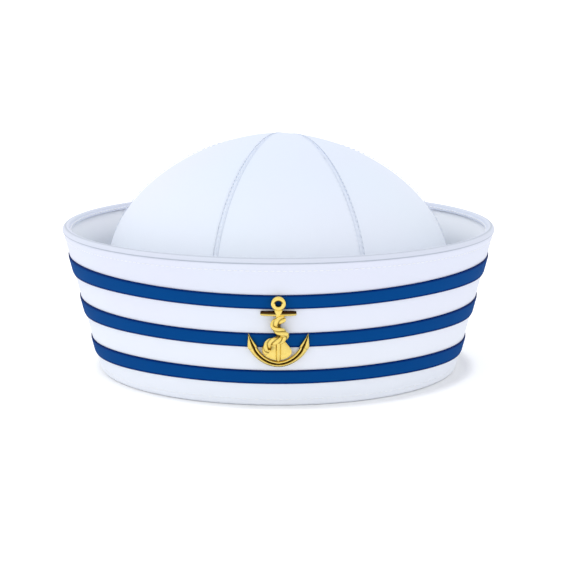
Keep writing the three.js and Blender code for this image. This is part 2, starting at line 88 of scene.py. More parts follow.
# %% [markdown]
# The camera comes first, so that each piece can be judged as it is made. It looks down on the
# cap by a little under ten degrees from rather far away, which keeps the oval rim flat.

# %% Set up the camera
IMAGE_SIZE = 576
CAMERA_DISTANCE = 1137.3 * MM
CAMERA_HEIGHT = 234.3 * MM
CAMERA_PITCH = 0.1696
FOCAL_PIXELS = 2210
AXIS_PIXEL = 278.4
SENSOR_WIDTH = 36

bpy.ops.object.select_all(action="DESELECT")
bpy.ops.object.camera_add(
    location=(0, -CAMERA_DISTANCE, CAMERA_HEIGHT),
    rotation=(math.pi / 2 - CAMERA_PITCH, 0, 0),
)
camera = bpy.context.object
camera.name = "camera"
camera.data.sensor_width = SENSOR_WIDTH
camera.data.lens = FOCAL_PIXELS / IMAGE_SIZE * SENSOR_WIDTH
camera.data.shift_x = (IMAGE_SIZE / 2 - AXIS_PIXEL) / IMAGE_SIZE
bpy.context.scene.camera = camera
print("lens", round(camera.data.lens, 1), "mm")

# %% [markdown]
# Cloth that goes round a head is easiest to make as an artist would by hand: a circle is
# stretched to the oval, its edge is extruded, and each new ring is resized and moved to the
# next place of the section. A helper does that for any list of rings.

# %% Carry a section round the oval
OVAL_POINTS = 192


def deselect():
    if bpy.context.mode != "OBJECT":
        bpy.ops.object.mode_set(mode="OBJECT")
    bpy.ops.object.select_all(action="DESELECT")


def pick(piece):
    deselect()
    piece.select_set(True)
    bpy.context.view_layer.objects.active = piece


def oval_ring(reach, height):
    return (HEAD_WIDTH / 2 + reach, HEAD_LENGTH / 2 + reach, height)


def oval_point(turn, width, length, height):
    """A point of an oval with these half sizes, so far round from the front."""
    return (width * math.sin(turn), -length * math.cos(turn), height)


def extrude_rings(name, rings):
    deselect()
    bpy.ops.mesh.primitive_circle_add(vertices=OVAL_POINTS, radius=1, location=(0, 0, 0))
    piece = bpy.context.object
    piece.name = name
    piece.data.name = name
    bpy.ops.object.mode_set(mode="EDIT")
    bpy.ops.mesh.select_all(action="SELECT")
    width, length, height = rings[0]
    bpy.ops.transform.resize(value=(width, length, 1), center_override=(0, 0, 0))
    bpy.ops.transform.translate(value=(0, 0, height))
    for new_width, new_length, new_height in rings[1:]:
        bpy.ops.mesh.extrude_region_move()
        bpy.ops.transform.resize(value=(new_width / width, new_length / length, 1),
                                 center_override=(0, 0, 0))
        bpy.ops.transform.translate(value=(0, 0, new_height - height))
        width, length, height = new_width, new_length, new_height
    return piece


def face_outwards():
    """Turn every face of the edited mesh outwards and leave edit mode."""
    bpy.ops.mesh.select_all(action="SELECT")
    bpy.ops.mesh.normals_make_consistent(inside=False)
    bpy.ops.object.mode_set(mode="OBJECT")


def close_section():
    bpy.ops.mesh.select_mode(type="EDGE")
    bpy.ops.mesh.select_all(action="DESELECT")
    bpy.ops.mesh.select_non_manifold()
    bpy.ops.mesh.bridge_edge_loops()
    face_outwards()


def add_modifier(piece, kind, **settings):
    pick(piece)
    bpy.ops.object.modifier_add(type=kind)
    modifier = piece.modifiers[-1]
    for key, value in settings.items():
        setattr(modifier, key, value)
    return modifier


def apply_modifiers(piece):
    pick(piece)
    for modifier in list(piece.modifiers):
        bpy.ops.object.modifier_apply(modifier=modifier.name)


def smooth(piece, angle=50):
    pick(piece)
    bpy.ops.object.shade_smooth_by_angle(angle=math.radians(angle))


def mark_painted_shade(piece, painted_shade_at):
    """Give each point a value from 0 to 1 of painted shade, which the material mixes in as a darker
    colour.
    """
    values = [min(max(painted_shade_at(v.co), 0), 1) for v in piece.data.vertices]
    attribute = piece.data.attributes.new("painted_shade", "FLOAT", "POINT")
    attribute.data.foreach_set("value", values)


def report(piece):
    piece.data.calc_loop_triangles()
    low, high = box_of(piece)
    sizes = " x ".join(f"{(b - a) / MM:.1f}" for a, b in zip(low, high))
    print(f"{piece.name}: {len(piece.data.loop_triangles)} triangles, {sizes} mm")


def box_of(piece):
    points = [v.co for v in piece.data.vertices]
    low = [min(p[axis] for p in points) for axis in range(3)]
    high = [max(p[axis] for p in points) for axis in range(3)]
    return low, high


# %% [markdown]
# Woven cloth needs threads that follow the piece. Every cloth piece gets a UV map in metres:
# across is the way round from the piece's middle, and along is the way up its face. The weave
# material then counts threads in real lengths.

# %% Lay the grain of the cloth
def turn_of(point):
    return math.atan2(point.x / HEAD_WIDTH, -point.y / HEAD_LENGTH)


def lay_grain(piece, middle_turn, up_the_face):
    if not piece.data.uv_layers:
        piece.data.uv_layers.new(name="grain")
    grain = piece.data.uv_layers[0].data
    for face in piece.data.polygons:
        turns = []
        for index in face.loop_indices:
            point = piece.data.vertices[piece.data.loops[index].vertex_index].co
            turn = turn_of(point) - middle_turn
            turns.append((turn + math.pi) % (2 * math.pi) - math.pi)
        wraps = max(turns) - min(turns) > math.pi
        for index, turn in zip(face.loop_indices, turns):
            point = piece.data.vertices[piece.data.loops[index].vertex_index].co
            if wraps and turn < 0:
                turn += 2 * math.pi
            across = turn * math.hypot(point.x, point.y)
            grain[index].uv = (across, up_the_face(point))


def up_the_band(point):
    return point.z / math.cos(BAND_LEAN)


# %% [markdown]
# The band's outer layer is one strip of cloth. At the bottom it turns in under the crown and
# up into a narrow hem. At the rim it rolls over into a bead and a short hem inside. The bead
# stands a little proud and the cloth dips below it, where the first row of stitches pulls
# the layers together.

# %% Model the band's outer layer
BEAD_DEPTH = 1.9 * MM
BEAD_PROUD = 0.25 * MM
GROOVE_DEPTH = 0.3 * MM
TOP_ROW = 5.8 * MM
LOW_ROW = 72.9 * MM
ROW_DIP = 0.12 * MM
INNER_ROW = 2.5 * MM
GROOVE_SPREAD = 0.35 * MM
ROW_SPREAD = 1.2 * MM
CORNER_STEPS = 5
BEAD_STEPS = 12
# Rings of the outer face: evenly spaced up to FINE_DROP below the rim, and then at these drops
FACE_STEPS = 26
FINE_DROP = 9 * MM
FINE_DROPS = [drop * MM for drop in (8, 7, 6.4, 5.8, 5.2, 4.6, 3.8, 3, 2.4, 2.15, 1.9, 1.65)]
INNER_DROPS = (2.3 * MM, INNER_ROW, 2.8 * MM, RIM_HEM_DEPTH - 0.15 * MM)
HEM_ROUND = 0.3 * MM
# Painted shade: its strength on the bead and on the fold's top line, and the widths and zones of
# its fine lines
BEAD_SHADE = 0.22
FOLD_SHADE = 0.8
FOLD_LINE = 0.75 * MM
FOLD_LINE_BEHIND = 0.6 * MM
FOLD_ZONE = 0.6 * MM
HEM_ZONE = 0.4 * MM
FINE_LINE = 0.3 * MM


def in_band(climb, depth):
    reach = WALL_REACH + climb * math.sin(BAND_LEAN) - depth * math.cos(BAND_LEAN)
    height = climb * math.cos(BAND_LEAN) + depth * math.sin(BAND_LEAN)
    return (reach, height)


def climb_to(height, depth):
    return (height - depth * math.sin(BAND_LEAN)) / math.cos(BAND_LEAN)


def face_dip(drop):
    """How deep the outer face lies, at a distance below the rim: it dips at the groove and rows."""
    dip = 0
    for place, depth, spread in ((BEAD_DEPTH, GROOVE_DEPTH, GROOVE_SPREAD),
                                 (TOP_ROW, ROW_DIP, ROW_SPREAD), (LOW_ROW, ROW_DIP, ROW_SPREAD)):
        dip += depth * math.exp(-((drop - place) / spread) ** 2)
    return dip


def band_section():
    half_turn = (math.pi / 2 - BAND_LEAN) / 2
    inset = BASE_CORNER * math.tan(half_turn)
    bead = RIM_THICKNESS / 2
    section = [(WALL_REACH - inset, 0)]
    for step in range(1, CORNER_STEPS):
        angle = 2 * half_turn * step / CORNER_STEPS
        section.append((WALL_REACH - inset + BASE_CORNER * math.sin(angle),
                        BASE_CORNER * (1 - math.cos(angle))))
    low = BAND_SLANT - inset
    drops = [low - step * (low - FINE_DROP) / FACE_STEPS for step in range(FACE_STEPS + 1)]
    for drop in drops + FINE_DROPS:
        section.append(in_band(BAND_SLANT - drop, face_dip(drop)))
    for step in range(BEAD_STEPS + 1):
        angle = math.pi * step / BEAD_STEPS
        proud = BEAD_PROUD * math.cos(angle / 2) ** 2
        climb = BAND_SLANT - bead + bead * math.sin(angle)
        section.append(in_band(climb, bead - (bead + proud) * math.cos(angle)))
    for drop in INNER_DROPS:
        dip = ROW_DIP if drop == INNER_ROW else 0
        section.append(in_band(BAND_SLANT - drop, RIM_THICKNESS - dip))
    section.append(in_band(BAND_SLANT - RIM_HEM_DEPTH, RIM_THICKNESS - HEM_ROUND))
    section.append(in_band(BAND_SLANT - RIM_HEM_DEPTH, RIM_THICKNESS - BAND_PLY))
    section.append(in_band(BAND_SLANT - bead, RIM_THICKNESS - BAND_PLY))
    section.append(in_band(BAND_SLANT - bead, BAND_PLY))
    for share in (0.75, 0.5, 0.25):
        section.append(in_band(share * BAND_SLANT, BAND_PLY))
    section.append(in_band(climb_to(BAND_PLY, BAND_PLY), BAND_PLY))
    section += [(BAND_PLY, BAND_PLY), (BAND_PLY, BASE_HEM_HEIGHT), (0, BASE_HEM_HEIGHT),
                (0, BAND_PLY / 2), (BAND_PLY / 2, 0)]
    return section


band = extrude_rings("band_outer", [oval_ring(*point) for point in band_section()])
close_section()
smooth(band)
lay_grain(band, 0, up_the_band)


def band_painted_shade(point):
    """Painted shade: fine lines at the groove under the bead, the fold's top and the inner hem, and
    grey on the bead.
    """
    drop = BAND_SLANT - up_the_band(point)
    turn = turn_of(point)
    reach = math.hypot(point.x, point.y) - math.hypot(HEAD_WIDTH / 2 * math.sin(turn),
                                                      HEAD_LENGTH / 2 * math.cos(turn))
    middle = in_band(BAND_SLANT - drop, RIM_THICKNESS / 2)[0]
    if drop < FOLD_ZONE:
        line_width = FOLD_LINE + FOLD_LINE_BEHIND * max(-math.cos(turn), 0)
        return max(min(1.1 - abs(reach - middle) / line_width, FOLD_SHADE), BEAD_SHADE)
    if reach > middle + FINE_LINE:
        shade = BEAD_SHADE if drop < BEAD_DEPTH else 0
        return max(1.5 - abs(drop - BEAD_DEPTH) / FINE_LINE, shade)
    if drop < RIM_HEM_DEPTH - HEM_ZONE:
        return 0
    return 0.6 - abs(drop - RIM_HEM_DEPTH) / FINE_LINE


mark_painted_shade(band, band_painted_shade)
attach(band, "root")
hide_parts("cuff_outer")
report(band)

# %% [markdown]
# The facing is the layer that shows inside the turned-up band. It runs from the crown's foot
# up to behind the rim's hem, so a plain four-sided section carried round is its true shape.

# %% Model the facing inside the band
FACING_ROUND = 0.25 * MM


def facing_section():
    top = BAND_SLANT - RIM_THICKNESS / 2 - CLEARANCE
    back = FACING_DEPTH + BAND_PLY
    low = climb_to(CROWN_BASE, back)
    section = [in_band(climb_to(CROWN_BASE, FACING_DEPTH), FACING_DEPTH)]
    section.append(in_band(top, FACING_DEPTH))
    section.append(in_band(top, back - FACING_ROUND))
    section.append(in_band(top - FACING_ROUND, back))
    for share in (0.8, 0.6, 0.4, 0.2, 0):
        section.append(in_band(low + share * (top - low), back))
    return section


facing = extrude_rings("band_facing", [oval_ring(*point) for point in facing_section()])
close_section()
smooth(facing)
lay_grain(facing, 0, up_the_band)
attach(facing, "root")
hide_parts("cuff_facing")
report(facing)

# %% [markdown]
# The ribbons don't run parallel to the rim: they dip a little at the front and widen towards
# the sides. Each one starts as a level strip round the oval. Then every point of it is slid
# up or down the band to the ribbon's own edge lines, which a short table gives.

# %% Model the ribbons
RIBBON_ROWS = 8
RIBBON_BACK = 0.12 * MM
RIBBON_FACE = CLEARANCE + RIBBON_THICKNESS
RIBBON_ROUND = 0.25 * MM
ROUND_SHARPNESS = 12
# Each edge's distance below the rim, as a share of the slant: at the front, the quarter, the side
RIBBONS = {
    "ribbon_upper": {"node": "stripe_upper",
                     "top": (0.235, 0.207, 0.188), "low": (0.328, 0.309, 0.316)},
    "ribbon_middle": {"node": "stripe_middle",
                      "top": (0.494, 0.48, 0.476), "low": (0.589, 0.58, 0.6)},
    "ribbon_lower": {"node": "stripe_lower",
                     "top": (0.75, 0.746, 0.767), "low": (0.843, 0.848, 0.875)},
}


def edge_climb(edge, turn):
    front, quarter, side = edge
    mean = (front + 2 * quarter + side) / 4
    sway = (front - side) / 2
    ripple = (front - 2 * quarter + side) / 4
    return BAND_SLANT * (1 - mean - sway * math.cos(2 * turn) - ripple * math.cos(4 * turn))


def ribbon_section():
    """Share up the ribbon and lift off the band, round the ribbon's section."""
    section = [(0, RIBBON_BACK)]
    for step in range(RIBBON_ROWS + 1):
        share = step / RIBBON_ROWS
        rounding = abs(2 * share - 1) ** ROUND_SHARPNESS
        section.append((share, RIBBON_FACE - RIBBON_ROUND * rounding))
    section.append((1, RIBBON_BACK))
    return section


def make_ribbon(name, node, top, low):
    section = ribbon_section()
    middle = BAND_SLANT * (1 - (top[0] + low[0]) / 2)
    rings = [oval_ring(*in_band(middle + share * MM, -lift)) for share, lift in section]
    ribbon = extrude_rings(name, rings)
    close_section()
    grain = ribbon.data.uv_layers.new(name="grain")
    for vertex in ribbon.data.vertices:
        share, lift = section[vertex.index // OVAL_POINTS]
        turn = turn_of(vertex.co)
        lower, upper = edge_climb(low, turn), edge_climb(top, turn)
        ring = oval_ring(*in_band(lower + share * (upper - lower), -lift))
        vertex.co = oval_point(turn, *ring)
    lay_grain(ribbon, 0, up_the_band)
    for loop in ribbon.data.loops:
        grain.data[loop.index].uv.y = section[loop.vertex_index // OVAL_POINTS][0]
    smooth(ribbon)
    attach(ribbon, "root")
    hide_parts(node)
    report(ribbon)
    return ribbon


ribbons = [make_ribbon(name, **row) for name, row in RIBBONS.items()]

# %% [markdown]
# The crown is six gores that meet at the top. All of them are cut from one smooth dome, so
# the dome is extruded once, ring by ring up to its pole, and each gore is a copy of it that
# is bisected along its two seams.
# The seams don't meet at the dome's highest point. Their eye lies behind it and a little to the
# right, so from the front they run up almost straight and pass over the top side by side. The
# rings are slid over the dome towards that eye, so the mesh's columns run along the seams.

# %% Model the dome
WALL_ROWS = 14
DOME_ROWS = 46
CROWN_EYE = Vector((5 * MM, 23 * MM, 0))
JUST_OVER = 0.01 * MM


def crown_ring(rise):
    wall_height = CROWN_BASE + (SHOULDER_HEIGHT - CROWN_BASE) * min(rise, 1)
    draw = (wall_height - BASE_HEM_HEIGHT) / (SHOULDER_HEIGHT - BASE_HEM_HEIGHT)
    draw = min(max(draw, 0), 1)
    drawn = CROWN_REACH - CROWN_DRAW_IN * draw * draw * (3 - 2 * draw)
    angle = max(rise - 1, 0) * math.pi / 2
    share = max(math.cos(angle), 0) ** (2 / DOME_REACH_POWER)
    climb = math.sin(angle) ** (2 / DOME_RISE_POWER)
    return ((HEAD_WIDTH / 2 + drawn) * share, (HEAD_LENGTH / 2 + drawn) * share,
            wall_height + (CROWN_HEIGHT - SHOULDER_HEIGHT) * climb)


def dome_share(point):
    """0 at the top of the dome and 1 at its shoulder, measured level from the axis."""
    width, length = crown_ring(1)[:2]
    return math.hypot(point.x / width, point.y / length)


def dome_height(point):
    climb = (1 - dome_share(point) ** DOME_REACH_POWER) ** (1 / DOME_RISE_POWER)
    return SHOULDER_HEIGHT + (CROWN_HEIGHT - SHOULDER_HEIGHT) * climb


def slide_to_eye(point):
    """A point above the shoulder slides over the dome, all the way to the eye at the top."""
    if point.z > SHOULDER_HEIGHT + JUST_OVER:
        point += CROWN_EYE * (1 - dome_share(point))
        point.z = dome_height(point)


rises = [row / WALL_ROWS for row in range(WALL_ROWS)]
rises += [1 + row / DOME_ROWS for row in range(DOME_ROWS)]
dome = extrude_rings("dome", [crown_ring(rise) for rise in rises])
bpy.ops.mesh.extrude_region_move()
bpy.ops.mesh.merge(type="CENTER")
face_outwards()
top_vertex = max(dome.data.vertices, key=lambda v: v.co.z)
top_vertex.co = (0, 0, CROWN_HEIGHT)
for vertex in dome.data.vertices:
    slide_to_eye(vertex.co)
report(dome)

# %% [markdown]
# Neighbouring gores are joined by a felled seam: one edge is folded over the other and
# stitched down along both sides, which leaves a narrow raised strip. Here each gore carries
# the strip on its left edge. Planes a seam's half width to each side of the seam line cut the
# strip out, and it is extruded outwards before the whole gore gets its thickness.

# %% Cut the gores and raise their seams
GORES = (("front", 0.137), ("front_right", 0.183), ("back_right", 0.18),
         ("back", 0.14), ("back_left", 0.154), ("front_left", 0.206))
SEAM_ROUND = 0.15 * MM
SEAM_LINE = 0.4 * MM
FADE_END = 0.28
FADE_START = 0.58
SUNK_SHARE = 0.15
# Painted shade of the line along the strip's folded edge and of the lines along the gore's other
# edges
FOLDED_SHADE = 0.5
OTHER_SHADE = 0.15


def seam_share(point):
    """0 at the eye and 1 at the shoulder, measured level along the seam through the point."""
    width, length = crown_ring(1)[:2]
    eye = Vector((CROWN_EYE.x / width, CROWN_EYE.y / length))
    step = Vector((point.x / width, point.y / length)) - eye
    lean, room = step.dot(eye), 1 - eye.length_squared
    return (lean + math.sqrt(lean * lean + room * step.length_squared)) / room


def seam_strength(point):
    """The seam is pressed flat towards the eye: 0 there and 1 half of the way down."""
    return min(max((seam_share(point) - FADE_END) / (FADE_START - FADE_END), 0), 1)


def settle_top(point):
    """Near the eye the seams' strips sink into the dome, where all six of them meet."""
    strength = seam_strength(point)
    if strength < 1 and point.z > dome_height(point):
        surface = dome_height(point)
        point.z = surface + (point.z - surface) * (SUNK_SHARE + (1 - SUNK_SHARE) * strength)


def seam_directions(turn):
    """The seam's direction in plan, from the eye to its foot, and the direction across it."""
    width, length = crown_ring(1)[:2]
    out = (Vector(oval_point(turn, width, length, 0)) - CROWN_EYE).normalized()
    return out, Vector((-out.y, out.x, 0))


def bisect(turn, offset, **clear):
    across = seam_directions(turn)[1]
    bpy.ops.mesh.select_all(action="SELECT")
    bpy.ops.mesh.bisect(plane_co=CROWN_EYE + across * offset, plane_no=across, **clear)


def select_faces(piece, chosen):
    bpy.ops.mesh.select_mode(type="FACE")
    bpy.ops.mesh.select_all(action="DESELECT")
    bpy.ops.object.mode_set(mode="OBJECT")
    for face in piece.data.polygons:
        face.select = chosen(face.center)
    bpy.ops.object.mode_set(mode="EDIT")


def lay_gore_grain(gore, middle_turn):
    """The threads run along the gore's middle: across is the distance from that middle."""
    out, across = seam_directions(middle_turn)
    if not gore.data.uv_layers:
        gore.data.uv_layers.new(name="grain")
    grain = gore.data.uv_layers[0].data
    for loop in gore.data.loops:
        place = gore.data.vertices[loop.vertex_index].co - CROWN_EYE
        along = math.atan2(place.z, place.dot(out)) * CROWN_HEIGHT
        grain[loop.index].uv = (place.dot(across), along)


def make_gore(name, start, width):
    pick(dome)
    bpy.ops.object.duplicate()
    gore = bpy.context.object
    gore.name = f"gore_{name}"
    gore.data.name = gore.name
    end = start + width
    bpy.ops.object.mode_set(mode="EDIT")
    bisect(start, -SEAM_WIDTH / 2, clear_inner=True)
    bisect(end, -SEAM_WIDTH / 2, clear_outer=True)
    bisect(start, SEAM_WIDTH / 2)
    bisect(start, SEAM_WIDTH / 2 + SEAM_LINE)
    bisect(end, -SEAM_WIDTH / 2 - SEAM_LINE)
    out, across = seam_directions(start)

    def in_seam(point):
        place = point - CROWN_EYE
        return abs(place.dot(across)) < SEAM_WIDTH / 2 and place.dot(out) > 0

    select_faces(gore, in_seam)
    bpy.ops.mesh.extrude_region_shrink_fatten(
        TRANSFORM_OT_shrink_fatten={"value": SEAM_ROUND - SEAM_RISE})
    bpy.ops.mesh.inset(thickness=1.5 * SEAM_ROUND, depth=SEAM_ROUND, use_boundary=True)
    bpy.ops.mesh.select_all(action="DESELECT")
    bpy.ops.object.mode_set(mode="OBJECT")
    add_modifier(gore, "SOLIDIFY", thickness=CROWN_PLY, offset=-1, use_even_offset=False)
    apply_modifiers(gore)
    for vertex in gore.data.vertices:
        settle_top(vertex.co)
    end_across = seam_directions(end)[1]

    # Painted shade: a dark line at the strip's foot and faint lines at the gore's edges, fading out
    # towards the eye.
    def seam_painted_shade(point):
        place = point - CROWN_EYE
        folded = abs(place.dot(across) - SEAM_WIDTH / 2)
        other = min(abs(place.dot(across) + SEAM_WIDTH / 2),
                    abs(place.dot(end_across) + SEAM_WIDTH / 2))
        line = max(FOLDED_SHADE - folded / FINE_LINE, OTHER_SHADE - other / FINE_LINE)
        return line * seam_strength(point)

    mark_painted_shade(gore, seam_painted_shade)
    smooth(gore)
    lay_gore_grain(gore, start + width / 2)
    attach(gore, "root")
    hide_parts(f"crown_gore_{name}")
    report(gore)
    return gore


turn = CROWN_TURN - GORES[0][1] * math.pi
gores = []
seam_turns = []
for name, share in GORES:
    gores.append(make_gore(name, turn, share * 2 * math.pi))
    seam_turns.append(turn)
    turn += share * 2 * math.pi
bpy.data.objects.remove(dome)

# %% [markdown]
# Stitches are many and alike, so one stitch is modelled, repeated by an array and laid along
# a guide line by a curve modifier. Each is a short plump thread with only a few faces.

# %% Model the rows of stitches
STITCH_LENGTH = 2.2 * MM
STITCH_PITCH = 2.9 * MM
STITCH_WIDTH = 0.5 * MM


def new_guide(spline_kind):
    """An empty guide line: its object and its one spline."""
    curve = bpy.data.curves.new("guide", "CURVE")
    curve.dimensions = "3D"
    guide = bpy.data.objects.new("guide", curve)
    bpy.context.scene.collection.objects.link(guide)
    return guide, curve.splines.new(spline_kind)


def guide_line(points, closed):
    guide, spline = new_guide("POLY")
    spline.points.add(len(points) - 1)
    for place, point in zip(spline.points, points):
        place.co = (*point, 1)
    spline.use_cyclic_u = closed
    return guide


def follow(piece, guide):
    add_modifier(piece, "CURVE", object=guide, deform_axis="POS_X")
    apply_modifiers(piece)
    bpy.data.objects.remove(guide)


def stitch_row(points, closed, width=STITCH_WIDTH):
    deselect()
    bpy.ops.mesh.primitive_uv_sphere_add(segments=6, ring_count=5, radius=1, location=(0, 0, 0))
    row = bpy.context.object
    bpy.ops.object.mode_set(mode="EDIT")
    bpy.ops.transform.rotate(value=math.pi / 2, orient_axis="Y", center_override=(0, 0, 0))
    bpy.ops.transform.resize(value=(STITCH_LENGTH / 2, width / 2, width / 2))
    bpy.ops.transform.translate(value=(STITCH_PITCH / 2, 0, 0))
    bpy.ops.object.mode_set(mode="OBJECT")
    guide = guide_line(points, closed)
    add_modifier(row, "ARRAY", fit_type="FIT_CURVE", curve=guide, use_relative_offset=False,
                 use_constant_offset=True, constant_offset_displace=(STITCH_PITCH, 0, 0))
    follow(row, guide)
    return row


def join(name, rows):
    deselect()
    for row in rows:
        row.select_set(True)
    bpy.context.view_layer.objects.active = rows[0]
    bpy.ops.object.join()
    joined = bpy.context.object
    joined.name = name
    joined.data.name = name
    smooth(joined, 80)
    return joined


def oval_row(drop, depth):
    ring = oval_ring(*in_band(BAND_SLANT - drop, depth))
    turns = [math.pi * step / OVAL_POINTS + math.pi for step in range(2 * OVAL_POINTS)]
    return [oval_point(turn, *ring) for turn in turns]


THREAD_LIFT = 0.03 * MM
INNER_THREAD = 0.9 * MM
INNER_LIFT = 4 * THREAD_LIFT
band_rows = [
    stitch_row(oval_row(TOP_ROW, ROW_DIP - THREAD_LIFT), True),
    stitch_row(oval_row(LOW_ROW, ROW_DIP - THREAD_LIFT), True),
    stitch_row(oval_row(INNER_ROW, RIM_THICKNESS - ROW_DIP + INNER_LIFT), True, INNER_THREAD),
]
band_stitches = join("band_stitches", band_rows)
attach(band_stitches, "root")
report(band_stitches)

# %% [markdown]
# The crown's seams are stitched along both sides of each raised strip. The guide lines are
# sections of the same dome, moved sideways by a share of the strip's width. A small round tack
# of thread closes the eye that the six tips leave.

# %% Stitch the crown's seams
SEAM_ROW = 0.62 * MM
SEAM_ROW_START = 0.12
SEAM_ROW_END = 1.95
SEAM_ROW_STEPS = 119
NEARBY = 0.002
SEAM_THREAD = 0.36 * MM
TACK_RADIUS = 2.8 * MM
TACK_HEIGHT = 0.3 * MM


def on_seam(turn, rise):
    """A point of the seam: above the shoulder it leaves its turn and heads for the eye."""
    point = Vector(oval_point(turn, *crown_ring(rise)))
    slide_to_eye(point)
    return point


def seam_row(turn, offset):
    across = seam_directions(turn)[1]
    points = []
    for step in range(SEAM_ROW_STEPS + 1):
        rise = SEAM_ROW_START + (SEAM_ROW_END - SEAM_ROW_START) * step / SEAM_ROW_STEPS
        centre = on_seam(turn, rise)
        aside = on_seam(turn + NEARBY, rise) - centre
        normal = aside.cross(on_seam(turn, rise + NEARBY) - centre).normalized()
        point = centre + aside * (offset / aside.dot(across)) + normal * (SEAM_RISE + THREAD_LIFT)
        settle_top(point)
        points.append(point)
    return points


crown_rows = []
for turn in seam_turns:
    for side in (-1, 1):
        crown_rows.append(stitch_row(seam_row(turn, side * SEAM_ROW), False, SEAM_THREAD))
deselect()
bpy.ops.mesh.primitive_uv_sphere_add(segments=20, ring_count=10, radius=1, location=(0, 0, 0))
tack = bpy.context.object
bpy.ops.object.mode_set(mode="EDIT")
bpy.ops.transform.resize(value=(TACK_RADIUS, TACK_RADIUS, TACK_HEIGHT))
bpy.ops.object.mode_set(mode="OBJECT")
eye_height = dome_height(CROWN_EYE)
slope_right = (dome_height(CROWN_EYE + Vector((MM, 0, 0))) - eye_height) / MM
slope_back = (dome_height(CROWN_EYE + Vector((0, MM, 0))) - eye_height) / MM
upright = Vector((-slope_right, -slope_back, 1)).to_track_quat("Z", "Y").to_matrix().to_4x4()
tack.data.transform(Matrix.Translation(CROWN_EYE + Vector((0, 0, eye_height))) @ upright)
crown_stitches = join("crown_stitches", crown_rows + [tack])
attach(crown_stitches, "root")
report(crown_stitches)

# %% [markdown]
# The badge is a cast anchor with a rope twined round it. Every part of it is modelled flat and
# straight first, in the badge's own frame: X across, Y up the band, Z out of it. A section is
# drawn once and extruded from station to station, and a curve modifier bends it to its line.
# Its grooves carry painted shade too: the gold is painted darker there, for their shade and their
# dark reflections.

# %% Prepare the badge's frame and its helpers
BADGE_DROP = 36.2 * MM
BADGE_LIFT = 2 * CLEARANCE + RIBBON_THICKNESS
BADGE_CLIMB = BAND_SLANT - BADGE_DROP
BADGE_REACH = in_band(BADGE_CLIMB, 0)[0]
BEND_RADIUS = ((HEAD_WIDTH / 2 + BADGE_REACH) ** 2 / (HEAD_LENGTH / 2 + BADGE_REACH)
               / math.cos(BAND_LEAN))


def badge_place(lift):
    reach, height = in_band(BADGE_CLIMB, -lift)
    turned = Matrix.Rotation(math.pi / 2 + BAND_LEAN, 4, "X")
    return Matrix.Translation((0, -(HEAD_LENGTH / 2 + reach), height)) @ turned


def soft_line(points):
    """A smooth guide line through points given in millimetres."""
    guide, spline = new_guide("BEZIER")
    guide.data.twist_mode = "Z_UP"
    spline.bezier_points.add(len(points) - 1)
    spline.resolution_u = 12
    for place, point in zip(spline.bezier_points, points):
        place.co = [value * MM for value in point]
        place.handle_left_type = "AUTO"
        place.handle_right_type = "AUTO"
    bpy.context.view_layer.update()
    return guide, spline.calc_length()


def extrude_bar(name, profile, stations):
    """profile: across and rise of each corner, as shares, with its painted shade.
    stations: how far along, half width and height."""
    deselect()
    bpy.ops.mesh.primitive_circle_add(vertices=len(profile), fill_type="NGON", location=(0, 0, 0))
    bar = bpy.context.object
    bar.name = name
    along, half, height = stations[0]
    for vertex, (across, rise, painted_shade) in zip(bar.data.vertices, profile):
        vertex.co = (along, across * half, rise * height)
    bpy.ops.object.mode_set(mode="EDIT")
    bpy.ops.mesh.select_all(action="SELECT")
    for new_along, new_half, new_height in stations[1:]:
        step = (new_along - along, 0, 0)
        bpy.ops.mesh.extrude_region_move(TRANSFORM_OT_translate={"value": step})
        bpy.ops.transform.resize(value=(1, new_half / half, new_height / height),
                                 center_override=(new_along, 0, 0))
        along, half, height = new_along, new_half, new_height
    face_outwards()

    def painted_shade_at(point):
        station = min(stations, key=lambda s: abs(s[0] - point.x))
        here = (point.y / station[1], point.z / station[2])
        near = min(profile, key=lambda c: math.dist(here, c[:2]))
        return near[2]

    mark_painted_shade(bar, painted_shade_at)
    return bar


# %% [markdown]
# Each arm sweeps from the anchor's foot out and up to a pointed fluke. Its section has a broad
# outer face up to a ridge, then a narrow groove and a low inner lip. It swells into the fluke
# and dips a little where the fluke begins.

# %% Model the arms
ARM_LINE = ((-1.3, -16.9, 0), (0, -16.95, 0), (4.9, -15.85, 0), (8.9, -13.1, 0),
            (11.75, -9.3, 0), (13.1, -5.6, 0), (14.2, -1.5, 0))
# Each corner: across, rise, and its painted shade, which darkens the groove
ARM_PROFILE = ((-1, 0, 0), (-1, 0.32, 0), (-0.9, 0.5, 0), (-0.45, 0.82, 0), (-0.02, 1, 0),
               (0.1, 0.9, 0.5), (0.22, 0.55, 1), (0.42, 0.55, 1), (0.52, 0.8, 0.3), (0.72, 0.8, 0),
               (0.94, 0.6, 0), (1, 0.35, 0), (1, 0, 0))
# Share of the arm's length, half width and height in millimetres
ARM_STATIONS = ((0, 1.6, 2.7), (0.12, 1.62, 2.7), (0.25, 1.68, 2.6), (0.4, 1.75, 2.5),
                (0.52, 1.85, 2.4), (0.6, 1.95, 2.3), (0.655, 2.0, 2.2), (0.67, 1.95, 1.7),
                (0.69, 2.35, 1.8), (0.71, 2.5, 2.4), (0.8, 1.85, 2.2), (0.9, 1.0, 1.7),
                (0.97, 0.4, 1.2), (1, 0.12, 0.8))


def make_arm():
    guide, length = soft_line(ARM_LINE)
    stations = [(share * length, half * MM, height * MM) for share, half, height in ARM_STATIONS]
    arm = extrude_bar("arm", ARM_PROFILE, stations)
    follow(arm, guide)
    return arm


right_arm = make_arm()
left_arm = make_arm()
pick(left_arm)
bpy.ops.object.mode_set(mode="EDIT")
bpy.ops.mesh.select_all(action="SELECT")
bpy.ops.transform.resize(value=(-1, 1, 1), center_override=(0, 0, 0))
face_outwards()
report(right_arm)
